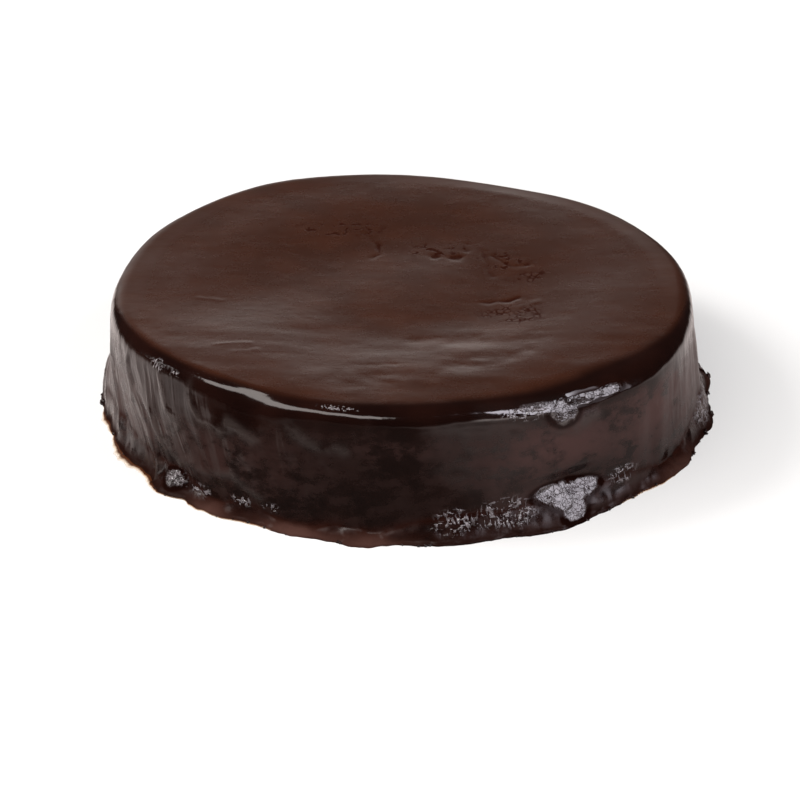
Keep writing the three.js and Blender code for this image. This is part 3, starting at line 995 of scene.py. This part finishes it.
def floor():
    mesh = bpy.data.meshes.new("floor")
    corners = [(x * FLOOR_HALF, y * FLOOR_HALF, 0) for x, y in ((-1, -1), (1, -1), (1, 1), (-1, 1))]
    mesh.from_pydata(corners, [], [(0, 1, 2, 3)])
    mesh.materials.append(pale_floor())
    piece = bpy.data.objects.new("floor", mesh)
    bpy.context.scene.collection.objects.link(piece)


LIGHT_DISTANCE = 1.2


def direction(azimuth, elevation):
    """Unit vector towards a light or camera, at an angle from the front and above the floor."""
    turn, lift = radians(azimuth), radians(elevation)
    return Vector((sin(turn) * cos(lift), -cos(turn) * cos(lift), sin(lift)))


def softbox(
    name, azimuth, elevation, width, height, brightness, colour, roll=0, mirrored=True, lighting=True,
):
    """A soft light. It may only light the cake, or only be mirrored in the glaze, as a far window is."""
    light = bpy.data.lights.new(name, "AREA")
    light.shape = "RECTANGLE"
    light.size, light.size_y = width, height
    light.energy = brightness * pi * width * height
    light.color = colour
    piece = bpy.data.objects.new(name, light)
    way = direction(azimuth, elevation)
    piece.location = way * LIGHT_DISTANCE
    piece.rotation_euler = (way.to_track_quat("Z", "Y") @ Quaternion((0, 0, 1), radians(roll))).to_euler()
    piece.visible_camera = False
    piece.visible_glossy = mirrored
    piece.visible_diffuse = lighting
    bpy.context.scene.collection.objects.link(piece)


def world():
    made = bpy.data.worlds.new("studio")
    made.use_nodes = True
    made.node_tree.nodes.clear()
    start = Shade(made.node_tree)
    seen = start.make("ShaderNodeLightPath", {}, {}, "Is Camera Ray")
    room = {"Color": seen.tint(DIM_ROOM, WHITE_ROOM), "Strength": 1.0}
    shader = start.make("ShaderNodeBackground", {}, room)
    start.make("ShaderNodeOutputWorld", {}, {"Surface": shader})
    bpy.context.scene.world = made


# The camera as fitted to the photograph: half the picture and the focal length in pixels, the place it looks
# at in millimetres, how high it stands in degrees, how far away in metres, and the nearest that it sees
HALF_PICTURE, FOCAL_LENGTH = 400, 2313
LOOKED_AT = Vector((-3.4, 0, -4.5))
CAMERA_ELEVATION, CAMERA_DISTANCE = 27.73, 1.0
NEAREST_SEEN = 0.01


def camera():
    lens = bpy.data.cameras.new("camera")
    lens.angle = 2 * atan(HALF_PICTURE / FOCAL_LENGTH)
    lens.clip_start = NEAREST_SEEN
    piece = bpy.data.objects.new("camera", lens)
    way = direction(0, CAMERA_ELEVATION)
    piece.location = LOOKED_AT * MM + way * CAMERA_DISTANCE
    piece.rotation_euler = way.to_track_quat("Z", "Y").to_euler()
    bpy.context.scene.collection.objects.link(piece)
    bpy.context.scene.camera = piece


camera()
floor()
world()
# Lights: angles from the front and above the floor, width and height in metres, brightness, colour. The left
# strip lights from a little above its streak, because from one place the one would hide the other
softbox("key_softbox", -95, 45, 0.4, 0.4, 25.0, (1.0, 0.98, 0.96), mirrored=False)
softbox("right_fill", 66, 42, 0.66, 0.66, 8.5, (1.0, 0.97, 0.98), mirrored=False)
softbox("left_strip", -46, 55, 1.45, 0.37, 10.0, (1.0, 0.97, 0.94), roll=15, mirrored=False)
softbox("left_streak", -46, 50, 1.45, 0.37, 6.5, (1.0, 0.97, 0.94), roll=15, lighting=False)
softbox("left_glint", -97, 14, 0.2, 0.35, 2.4, (1.0, 0.97, 0.95), lighting=False)
softbox("right_softbox", 59, 27, 0.84, 0.95, 3.2, (1.0, 0.95, 1.05), lighting=False)
softbox("back_panel", -170, 10, 1.1, 0.42, 1.1, (1.0, 0.93, 0.89))
bpy.context.scene.view_settings.view_transform = "Standard"

glaze = chocolate_glaze()
foot_edge = glazed_cake(glaze)
foot_crumbs(foot_edge, glaze)
syrup(foot_edge, soaking_syrup())
